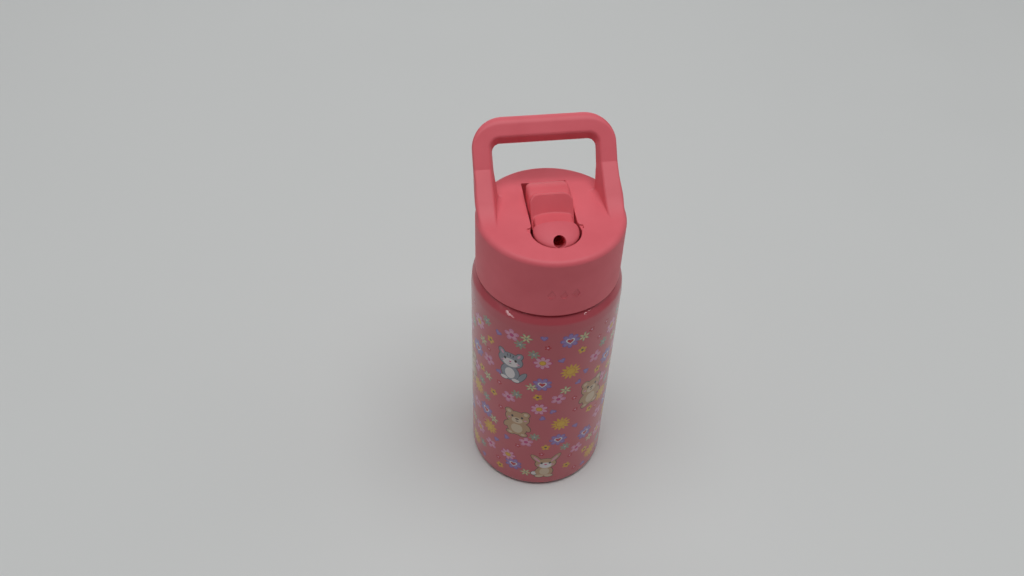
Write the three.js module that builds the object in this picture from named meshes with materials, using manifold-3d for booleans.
// A children's vacuum-insulated water bottle with a screw-on straw lid.
// Millimetres, +Z up, origin at the centre of the base, front of the bottle towards -Y.
import * as THREE from 'three';
import { mergeVertices } from 'three/addons/utils/BufferGeometryUtils.js';
import Module from 'manifold-3d';

const wasm = await Module();
wasm.setup();

// ---------------------------------------------------------------- driving dimensions
const GAP = 0.3;                 // clearance between pieces that touch

// bottle
const BODY_R = 36.1;             // outside radius of the painted wall
const BASE_CORNER_R = 3.1;
const SHOULDER_Z = 123.1;        // where the straight wall ends
const SEAM_Z = 132.1;            // lower edge of the closed lid
const SHOULDER_TOP_R = 31.6;
const WALL = 0.8;                // outer steel wall
const LINER_R = 33.1;            // outside radius of the inner vessel
const LINER_WALL = 0.7;
const LIP_Z = 133.9;             // top of the drinking-side lip, under the gasket
const NECK_R = 26.6;             // bore of the neck at the thread root
const BASE_RIM_R = 29.6;         // inner edge of the ring the bottle stands on
const FLOOR_Z = 6.2;             // underside of the inner vessel

// screw thread between neck and lid plug
const THREAD_PITCH = 4;
const THREAD_CREST_IN = 25.7;    // crest radius of the ridge in the neck
const THREAD_CREST_OUT = 26.2;   // crest radius of the ridge on the plug
const THREAD_START_Z = 119.6;
const THREAD_TURNS = 2;

// lid
const LID_R = 34.0;
const LID_TOP_Z = 163.8;
const LID_EDGE_R = 2.9;
const LID_WALL = 2.0;
const DECK_T = 2.6;
const SLOT_HALF = 10.4;          // half width of the spout slot
const SLOT_BACK_Y = 20.9;
const LOBE_R = 11.3;             // round front end of the slot
const LOBE_Y = -12.7;
const WELL_FLOOR_Z = 152;
const WELL_BASE_Z = 146.5;
const WELL_HALF = 13.6;
const PLUG_R = 25.2;
const PLUG_FLOOR_Z = 114;

// carry loop, a flat strap leaning back over the rear of the lid
const LOOP_TILT = THREE.MathUtils.degToRad(50);   // slope of its front face above the horizontal
const LOOP_FOOT_Y = -10.3;        // where the front face leaves the deck
const LOOP_FILLET_R = 31.8;       // sweep from the deck into the sloping face
const LOOP_TOP_Z = 195.4;
const LOOP_HALF = 32.8;          // outside half width
const LOOP_OPEN_HALF = 24.0;     // half width of the hand opening
const LOOP_BAR = 9.4;            // width of the top bar along the slope
const LOOP_T_FOOT = 8.5;          // strap thickness, measured level, at the foot
const LOOP_T_TOP = 5.8;          // and at the bar
const LOOP_CORNER_R = 13;
const LOOP_OPEN_CORNER_R = 4.5;

// spout
const PIVOT_Y = 10;
const PIVOT_Z = LID_TOP_Z - 4;
const BARREL_R = 10.4;
const BARREL_HALF = 9.75;
const NECK_HALF = 8.7;           // half width of the flat neck behind the mouthpiece
const NECK_RISE = 0.6;           // its top above the lid's deck
const NECK_DROP = 9.4;           // its underside below the deck
const NECK_FRONT_Y = -8;
const BORE_R = 2.6;
const MOUTH_R = 10.2;            // plan radius of the soft mouthpiece
const MOUTH_Y = -13;
const MOUTH_Z = LID_TOP_Z - 0.7; // level of its widest outline
const MOUTH_CROWN = 3.6;         // dome height above that level
const MOUTH_BELLY = 7.6;         // and depth below it
const MOUTH_HOLE_R = 2.75;
const MOUTH_HOLE_RISE = THREE.MathUtils.degToRad(38);  // the drinking hole looks up and forward
const PIN_R = 1.6;

// straw
const STRAW_R = 3.8;
const STRAW_BORE_R = 2.75;
const STRAW_END_Z = 11;
const STUB_END_Z = 107.5;

const ROUND = 48;                // segments round the big turned pieces
const SMALL_ROUND = 20;

// ---------------------------------------------------------------- materials
const finish = (color, roughness, metalness) =>
  new THREE.MeshStandardMaterial({ color, roughness, metalness });
const PAINT = [0xcf6a70, 0.35, 0.0];
const LID_PLASTIC = [0xe07f7f, 0.6, 0.0];
const STEEL = [0xb9b9b6, 0.35, 1.0];
const SILICONE = [0xd86f70, 0.7, 0.0];
const CLEAR_PLASTIC = [0xf1efe9, 0.4, 0.0];
const GREY = [0x8c8c8c, 0.5, 0.6];

const bottle = new THREE.Group();

function add(name, geometry, look) {
  const mesh = new THREE.Mesh(geometry, finish(...look));
  mesh.name = name;
  bottle.add(mesh);
}

// ---------------------------------------------------------------- solid helpers
function solid(geometry) {
  const bare = geometry.index ? geometry.clone() : geometry;
  for (const key of Object.keys(bare.attributes)) if (key !== 'position') bare.deleteAttribute(key);
  const merged = mergeVertices(bare, 1e-4);
  const triVerts = [];
  const index = merged.index.array;
  for (let i = 0; i < index.length; i += 3) {
    const [a, b, c] = [index[i], index[i + 1], index[i + 2]];
    if (a !== b && b !== c && a !== c) triVerts.push(a, b, c);
  }
  return new wasm.Manifold(new wasm.Mesh({
    numProp: 3,
    vertProperties: new Float32Array(merged.attributes.position.array),
    triVerts: new Uint32Array(triVerts),
  }));
}

function shell(manifold) {
  const { vertProperties, triVerts } = manifold.getMesh();
  const geometry = new THREE.BufferGeometry();
  geometry.setAttribute('position', new THREE.BufferAttribute(vertProperties, 3));
  geometry.setIndex(new THREE.BufferAttribute(triVerts, 1));
  return geometry;
}

const union = (first, ...rest) => rest.reduce((all, one) => all.add(one), first);
const cut = (first, ...rest) => rest.reduce((all, one) => all.subtract(one), first);

// A turned solid about +Z. The profile is a list of [radius, z], closed on itself or on the axis.
function turned(profile, segments = ROUND) {
  const points = profile.map(([r, z]) => new THREE.Vector2(r, z));
  const first = profile[0];
  const last = profile[profile.length - 1];
  if (first[0] > 0 || last[0] > 0) points.push(points[0].clone());
  return solid(new THREE.LatheGeometry(points, segments).rotateX(Math.PI / 2));
}

// A rod along +Z between two heights.
const rod = (r, z0, z1, segments = SMALL_ROUND) =>
  turned([[0, z0], [r, z0], [r, z1], [0, z1]], segments);

const pipe = (outer, inner, z0, z1, segments = SMALL_ROUND) =>
  turned([[inner, z0], [outer, z0], [outer, z1], [inner, z1]], segments);

// Points of an arc in a profile, by centre, radius and two angles in degrees.
function arc(cx, cy, r, from, to, steps = 4) {
  return Array.from({ length: steps + 1 }, (_, i) => {
    const a = THREE.MathUtils.degToRad(from + (to - from) * i / steps);
    return [cx + r * Math.cos(a), cy + r * Math.sin(a)];
  });
}

function outline(points) {
  return new THREE.Shape(points.map(([x, y]) => new THREE.Vector2(x, y)));
}

const upright = (shape, z0, z1) =>
  solid(new THREE.ExtrudeGeometry(shape, { depth: z1 - z0, bevelEnabled: false, curveSegments: 12 })
    .translate(0, 0, z0));

// A side outline of [y, z] points, extruded across X between -half and +half.
function sideways(points, half) {
  const geometry = new THREE.ExtrudeGeometry(outline(points), { depth: 2 * half, bevelEnabled: false });
  geometry.translate(0, 0, -half);
  // shape x -> +Y, shape y -> +Z, depth -> +X
  geometry.applyMatrix4(new THREE.Matrix4().makeBasis(
    new THREE.Vector3(0, 1, 0), new THREE.Vector3(0, 0, 1), new THREE.Vector3(1, 0, 0)));
  return solid(geometry);
}

const aim = (piece, x, y, z) => piece.translate([x, y, z]);

// A rod in the middle plane, from the point [y, z] along a direction rising by some angle from -Y.
const forwardRod = (r, [y, z], rise, length) =>
  rod(r, 0, length).rotate([90 - THREE.MathUtils.radToDeg(rise), 0, 0]).translate([0, y, z]);

// One thread ridge: a trapezium section swept along a helix about +Z.
function threadRidge(rootR, crestR, z0, turns) {
  const rootHalf = 0.8;
  const crestHalf = 0.35;
  const stepsPerTurn = 32;
  const steps = stepsPerTurn * turns;
  const positions = [];
  const index = [];
  for (let i = 0; i <= steps; i++) {
    const a = 2 * Math.PI * i / stepsPerTurn;
    const z = z0 + THREAD_PITCH * i / stepsPerTurn;
    const runOut = Math.min(1, 6 * Math.min(i, steps - i) / stepsPerTurn);
    const crest = rootR + (crestR - rootR) * (0.15 + 0.85 * runOut);
    const inward = rootR + 0.5 * Math.sign(rootR - crestR);
    for (const [r, dz] of [[inward, -rootHalf], [crest, -crestHalf], [crest, crestHalf], [inward, rootHalf]]) {
      positions.push(r * Math.cos(a), r * Math.sin(a), z + dz);
    }
  }
  const outward = crestR > rootR;
  const face = (a, b, c) => index.push(...(outward ? [a, b, c] : [a, c, b]));
  for (let i = 0; i < steps; i++) {
    for (let k = 0; k < 4; k++) {
      const [a, b] = [4 * i + k, 4 * i + (k + 1) % 4];
      face(a, a + 4, b);
      face(b, a + 4, b + 4);
    }
  }
  const end = 4 * steps;
  face(0, 1, 2);
  face(0, 2, 3);
  face(end, end + 2, end + 1);
  face(end, end + 3, end + 2);
  const geometry = new THREE.BufferGeometry();
  geometry.setAttribute('position', new THREE.Float32BufferAttribute(positions, 3));
  geometry.setIndex(index);
  return solid(geometry);
}

// ---------------------------------------------------------------- bottle
function outerShell() {
  const shoulder = (offset) => {
    const rise = SEAM_Z - 0.7 - SHOULDER_Z;
    const fall = BODY_R - SHOULDER_TOP_R;
    return Array.from({ length: 6 }, (_, i) => {
      const a = Math.PI / 2 * i / 5;
      return [BODY_R - offset - fall * (1 - Math.cos(a)), SHOULDER_Z + rise * Math.sin(a)];
    });
  };
  const outside = [
    [BASE_RIM_R, 0],
    ...arc(BODY_R - BASE_CORNER_R, BASE_CORNER_R, BASE_CORNER_R, -90, 0),
    ...shoulder(0),
    [SHOULDER_TOP_R - 0.3, LIP_Z - 0.6],
    [SHOULDER_TOP_R - 0.9, LIP_Z],
    [NECK_R + LINER_WALL + GAP, LIP_Z],
  ];
  const inside = [
    [NECK_R + LINER_WALL + GAP, LIP_Z - WALL],
    [SHOULDER_TOP_R - 1.2, LIP_Z - WALL],
    ...shoulder(WALL).reverse(),
    ...arc(BODY_R - BASE_CORNER_R, BASE_CORNER_R, BASE_CORNER_R - WALL, 0, -90),
    [BASE_RIM_R, WALL],
  ];
  return turned([...outside, ...inside]);
}

function innerLiner() {
  const bottom = FLOOR_Z;
  const inR = LINER_R - LINER_WALL;
  const corner = 8;
  const wall = turned([
    [0, bottom],
    ...arc(LINER_R - corner, bottom + corner, corner, -90, 0),
    [LINER_R, 111],
    ...arc(LINER_R - 4, 111, 4, 0, 60, 3),
    [NECK_R + LINER_WALL, 118.5],
    [NECK_R + LINER_WALL, LIP_Z],
    [NECK_R, LIP_Z],
    [NECK_R, 118.2],
    ...arc(LINER_R - 4, 111, 4 - LINER_WALL, 60, 0, 3),
    ...arc(LINER_R - corner, bottom + corner, corner - LINER_WALL, 0, -90),
    [0, bottom + LINER_WALL],
  ]);
  const start = THREAD_START_Z + THREAD_PITCH / 2;
  return union(wall, threadRidge(NECK_R, THREAD_CREST_IN, start, THREAD_TURNS));
}

add('outer_shell', shell(outerShell()), PAINT);
add('inner_liner', shell(innerLiner()), STEEL);

const DISC_R = BASE_RIM_R - GAP;
add('base_disc', shell(turned([
  [1.9, 1.9], [22, 1.9], [23.5, 1.2], [DISC_R, 1.2], [DISC_R, 2.1], [23.8, 2.1], [22.3, 2.8], [1.9, 2.8],
], 40)), STEEL);
add('vacuum_plug', shell(turned([
  [0, 1.3], [2.6, 1.3], [2.6, 1.9 - GAP], [1.6, 1.9 - GAP], [1.6, 3.2], [0, 3.2],
], SMALL_ROUND)), GREY);
add('getter_capsule', shell(aim(rod(5, 3.4, 5.6), 14, 0, 0)), GREY);

// ---------------------------------------------------------------- lid shell with its carry loop
function slotOutline() {
  const reach = Math.sqrt(LOBE_R ** 2 - SLOT_HALF ** 2);
  const half = THREE.MathUtils.radToDeg(Math.atan2(reach, SLOT_HALF));
  return outline([
    [SLOT_HALF, SLOT_BACK_Y],
    [-SLOT_HALF, SLOT_BACK_Y],
    ...arc(0, LOBE_Y, LOBE_R, 180 - half, 360 + half, 24),
  ]);
}

// Front and rear edges of the strap seen from the side, as [y, z].
function loopSide() {
  const degrees = THREE.MathUtils.radToDeg(LOOP_TILT);
  const front = arc(LOOP_FOOT_Y, LID_TOP_Z + LOOP_FILLET_R, LOOP_FILLET_R, -90, -90 + degrees, 8);
  const [y0, z0] = front[front.length - 1];
  const topY = y0 + (LOOP_TOP_Z - z0) / Math.tan(LOOP_TILT);
  const rearFootY = y0 - (z0 - LID_TOP_Z) / Math.tan(LOOP_TILT) + LOOP_T_FOOT;
  return [
    [LOOP_FOOT_Y, LID_TOP_Z - 1.5],
    ...front,
    [topY - 1.4, LOOP_TOP_Z - 1.2],
    [topY + 1.2, LOOP_TOP_Z],
    [topY + LOOP_T_TOP - 1.4, LOOP_TOP_Z - 1.2],
    [rearFootY + 1.4, LID_TOP_Z + 2.4],
    [rearFootY + 4.5, LID_TOP_Z - 1.5],
  ];
}

function roundedBlock(halfWidth, low, high, corner) {
  return outline([
    [-halfWidth, low],
    [halfWidth, low],
    ...arc(halfWidth - corner, high - corner, corner, 0, 90, 8),
    ...arc(-halfWidth + corner, high - corner, corner, 90, 180, 8),
  ]);
}

// The strap's face is drawn in its own sloping plane and pushed through at right angles to it.
function loopFace(shape) {
  const depth = 160;
  const geometry = new THREE.ExtrudeGeometry(shape, { depth, bevelEnabled: false });
  geometry.translate(0, 0, -depth / 2);
  geometry.rotateX(LOOP_TILT);
  geometry.translate(0, 0, LID_TOP_Z);
  return solid(geometry);
}

function carryLoop() {
  const y0 = LOOP_FOOT_Y + LOOP_FILLET_R * Math.sin(LOOP_TILT);
  const z0 = LOOP_FILLET_R * (1 - Math.cos(LOOP_TILT));
  const topY = y0 + (LOOP_TOP_Z - LID_TOP_Z - z0) / Math.tan(LOOP_TILT);
  const top = topY * Math.cos(LOOP_TILT) + (LOOP_TOP_Z - LID_TOP_Z) * Math.sin(LOOP_TILT);
  // the feet keep inside the lid's round plan and spread out to full width above it
  const footFlare = turned([
    [0, LID_TOP_Z - 3], [LID_R - 2.6, LID_TOP_Z - 3], [LID_R - 0.6, LID_TOP_Z - 0.8],
    [LID_R + 4.5, LID_TOP_Z + 6], [70, LOOP_TOP_Z + 5], [0, LOOP_TOP_Z + 5],
  ]);
  const strap = sideways(loopSide(), LOOP_HALF)
    .intersect(loopFace(roundedBlock(LOOP_HALF, -60, top, LOOP_CORNER_R)))
    .intersect(footFlare);
  return cut(strap, loopFace(roundedBlock(LOOP_OPEN_HALF, -60, top - LOOP_BAR, LOOP_OPEN_CORNER_R)));
}

function lidShell() {
  const inner = LID_R - LID_WALL;
  const cap = turned([
    [inner, SEAM_Z],
    [LID_R - 0.4, SEAM_Z],
    [LID_R, SEAM_Z + 0.4],
    ...arc(LID_R - LID_EDGE_R, LID_TOP_Z - LID_EDGE_R, LID_EDGE_R, 0, 90),
    [0, LID_TOP_Z],
    [0, LID_TOP_Z - DECK_T],
    [inner, LID_TOP_Z - DECK_T],
  ]);
  const block = upright(outline([
    [WELL_HALF, 23.5], [-WELL_HALF, 23.5], [-WELL_HALF, -24], [-7, -27.4], [7, -27.4], [WELL_HALF, -24],
  ]), WELL_BASE_Z, LID_TOP_Z - 1);
  const seat = sideways(arc(PIVOT_Y, PIVOT_Z, BARREL_R + 0.5, 0, 337.5, 15), SLOT_HALF);
  const pocket = upright(slotOutline(), WELL_FLOOR_Z, LID_TOP_Z + 5);
  const portHole = aim(rod(6.7, WELL_BASE_Z - 3, WELL_FLOOR_Z), 0, PIVOT_Y, 0);
  const pinHole = turned([[0, -12.9], [PIN_R + GAP, -12.9], [PIN_R + GAP, 12.9], [0, 12.9]], SMALL_ROUND)
    .rotate([0, 90, 0]).translate([0, PIVOT_Y, PIVOT_Z]);
  const notches = [-1, 1].map((side) =>
    aim(rod(1, WELL_FLOOR_Z + 6, LID_TOP_Z + 2, 12), side * LOBE_R, LOBE_Y + 1.2, 0));
  return cut(union(cap, block, carryLoop()), seat, pocket, portHole, pinHole, ...notches);
}

add('lid_shell', shell(lidShell()), LID_PLASTIC);

// ---------------------------------------------------------------- inside of the lid
function lidPlug() {
  const inner = PLUG_R - 2;
  const top = LIP_Z + 5.1;
  const flangeZ = LIP_Z + 2.4;
  const cup = turned([
    [0, PLUG_FLOOR_Z], [PLUG_R - 1.5, PLUG_FLOOR_Z], [PLUG_R, PLUG_FLOOR_Z + 1.5], [PLUG_R, flangeZ],
    [LID_R - LID_WALL - GAP, flangeZ], [LID_R - LID_WALL - GAP, top], [inner, top],
    [inner, PLUG_FLOOR_Z + 2.4], [0, PLUG_FLOOR_Z + 2.4],
  ]);
  const chimney = aim(rod(5.2, PLUG_FLOOR_Z + 1, 142.8), 0, PIVOT_Y, 0);
  const stub = aim(rod(3.4, STUB_END_Z, PLUG_FLOOR_Z + 1), 0, PIVOT_Y, 0);
  const bore = aim(rod(2.4, STUB_END_Z - 1, 144), 0, PIVOT_Y, 0);
  const ventHole = aim(rod(1.6, PLUG_FLOOR_Z - 1, PLUG_FLOOR_Z + 4), 0, -12, 0);
  const ridge = threadRidge(PLUG_R, THREAD_CREST_OUT, THREAD_START_Z, THREAD_TURNS);
  return cut(union(cup, chimney, stub, ridge), bore, ventHole);
}

add('lid_plug', shell(lidPlug()), CLEAR_PLASTIC);
add('lid_gasket', shell(turned([
  [PLUG_R + 0.4, LIP_Z + GAP], [30.6, LIP_Z + GAP], [31.1, LIP_Z + 1.1], [30.6, LIP_Z + 2.1],
  [PLUG_R + 0.4, LIP_Z + 2.1],
], 48)), SILICONE);

const barrelClear = turned([[0, -12], [BARREL_R + GAP, -12], [BARREL_R + GAP, 12], [0, 12]], 48)
  .rotate([0, 90, 0]).translate([0, PIVOT_Y, PIVOT_Z]);
add('port_seal', shell(cut(aim(pipe(6.4, 2.4, 143.1, 151.6), 0, PIVOT_Y, 0), barrelClear)), SILICONE);
add('vent_valve', shell(aim(turned([
  [0, PLUG_FLOOR_Z - 1.6], [3.6, PLUG_FLOOR_Z - 0.9], [3.6, PLUG_FLOOR_Z - GAP], [1.2, PLUG_FLOOR_Z - GAP],
  [1.2, PLUG_FLOOR_Z + 2.7], [2.4, PLUG_FLOOR_Z + 2.7], [1.4, PLUG_FLOOR_Z + 4.2], [0, PLUG_FLOOR_Z + 4.4],
], SMALL_ROUND), 0, -12, 0)), SILICONE);
add('straw_boot', shell(aim(turned([
  [3.4 + GAP, PLUG_FLOOR_Z - GAP], [3.4 + GAP, STUB_END_Z], [STRAW_R + GAP, STUB_END_Z],
  [STRAW_R + GAP, 101], [5.2, 101], [5.6, 102], [5.6, PLUG_FLOOR_Z - 1], [5.2, PLUG_FLOOR_Z - GAP],
], SMALL_ROUND), 0, PIVOT_Y, 0)), SILICONE);

function straw() {
  const tube = pipe(STRAW_R, STRAW_BORE_R, STRAW_END_Z, STUB_END_Z - GAP);
  const notch = sideways([[-6, -3], [6, -3], [0, 3.2]], 8).translate([0, 0, STRAW_END_Z]);
  return aim(cut(tube, notch), 0, PIVOT_Y, 0);
}
add('straw', shell(straw()), CLEAR_PLASTIC);

// ---------------------------------------------------------------- spout
// Thumb tab on top of the barrel, with the steep face that the thumb pushes, as [y, z].
function thumbTab() {
  const rimZ = LID_TOP_Z + 7.3;
  const neckZ = LID_TOP_Z + NECK_RISE;
  return sideways([
    [PIVOT_Y + 6, PIVOT_Z],
    ...arc(PIVOT_Y, PIVOT_Z, BARREL_R, 60, 90, 3),
    [6.0, PIVOT_Z + BARREL_R + 0.2],   // stays inside the slot when the spout stands up
    [4.8, rimZ],
    [3.6, rimZ - 0.5],
    [-1.2, neckZ + 1.2],
    [-3, neckZ],
    [-3, PIVOT_Z],
  ], 8.9);
}

function spoutBody() {
  const barrel = turned([
    [0, -BARREL_HALF], ...arc(BARREL_R - 2, -BARREL_HALF + 2, 2, -90, 0, 2),
    ...arc(BARREL_R - 2, BARREL_HALF - 2, 2, 0, 90, 2), [0, BARREL_HALF],
  ], 40).rotate([0, 90, 0]).translate([0, PIVOT_Y, PIVOT_Z]);
  const low = LID_TOP_Z - NECK_DROP;
  const high = LID_TOP_Z + NECK_RISE;
  const section = outline([
    ...arc(-NECK_HALF + 3, low + 3, 3, 180, 270, 3), ...arc(NECK_HALF - 3, low + 3, 3, 270, 360, 3),
    ...arc(NECK_HALF - 1.5, high - 1.5, 1.5, 0, 90, 2), ...arc(-NECK_HALF + 1.5, high - 1.5, 1.5, 90, 180, 2),
  ]);
  const neck = solid(new THREE.ExtrudeGeometry(section, { depth: PIVOT_Y - NECK_FRONT_Y, bevelEnabled: false })
    .rotateX(Math.PI / 2).translate(0, PIVOT_Y, 0));
  const nozzle = forwardRod(4.6, [NECK_FRONT_Y + 2, PIVOT_Z], 0, 7.4);
  const bore = forwardRod(BORE_R, [PIVOT_Y + 14, PIVOT_Z], 0, 40);
  const pins = [-1, 1].map((side) => rod(PIN_R + GAP, 6.2, 14).rotate([0, 90 * side, 0])
    .translate([0, PIVOT_Y, PIVOT_Z]));
  return cut(union(barrel, neck, nozzle, thumbTab()), bore, ...pins);
}
add('spout_body', shell(spoutBody()), LID_PLASTIC);

for (const [name, side] of [['hinge_pin_left', -1], ['hinge_pin_right', 1]]) {
  add(name, shell(rod(PIN_R, 6.5, 12.6).rotate([0, 90 * side, 0]).translate([0, PIVOT_Y, PIVOT_Z])), STEEL);
}

function mouthpiece() {
  const height = (a) => (a > 0 ? MOUTH_CROWN : MOUTH_BELLY) * Math.sin(a);
  const dome = turned(Array.from({ length: 13 }, (_, i) => {
    const a = Math.PI * (i / 12 - 0.5);
    return [i % 12 ? MOUTH_R * Math.cos(a) : 0, height(a)];
  }), 36).translate([0, MOUTH_Y, MOUTH_Z]);
  const behind = NECK_FRONT_Y - GAP;
  const backBlock = sideways([
    [behind, 140], [behind + 20, 140], [behind + 20, 180], [behind - 3, 180], [behind, LID_TOP_Z + 1.2],
  ], 20);
  const socket = forwardRod(4.6 + GAP, [0, PIVOT_Z], 0, 13.7);
  const holeY = MOUTH_Y - 8.3;
  const elbowY = holeY + (MOUTH_Z + 1.6 - PIVOT_Z) / Math.tan(MOUTH_HOLE_RISE);
  const hole = forwardRod(MOUTH_HOLE_R, [elbowY, PIVOT_Z], MOUTH_HOLE_RISE, 20);
  const channel = forwardRod(BORE_R, [0, PIVOT_Z], 0, -elbowY + 1.5);
  return cut(dome, backBlock, socket, hole, channel);
}
add('mouthpiece', shell(mouthpiece()), SILICONE);

export default bottle;
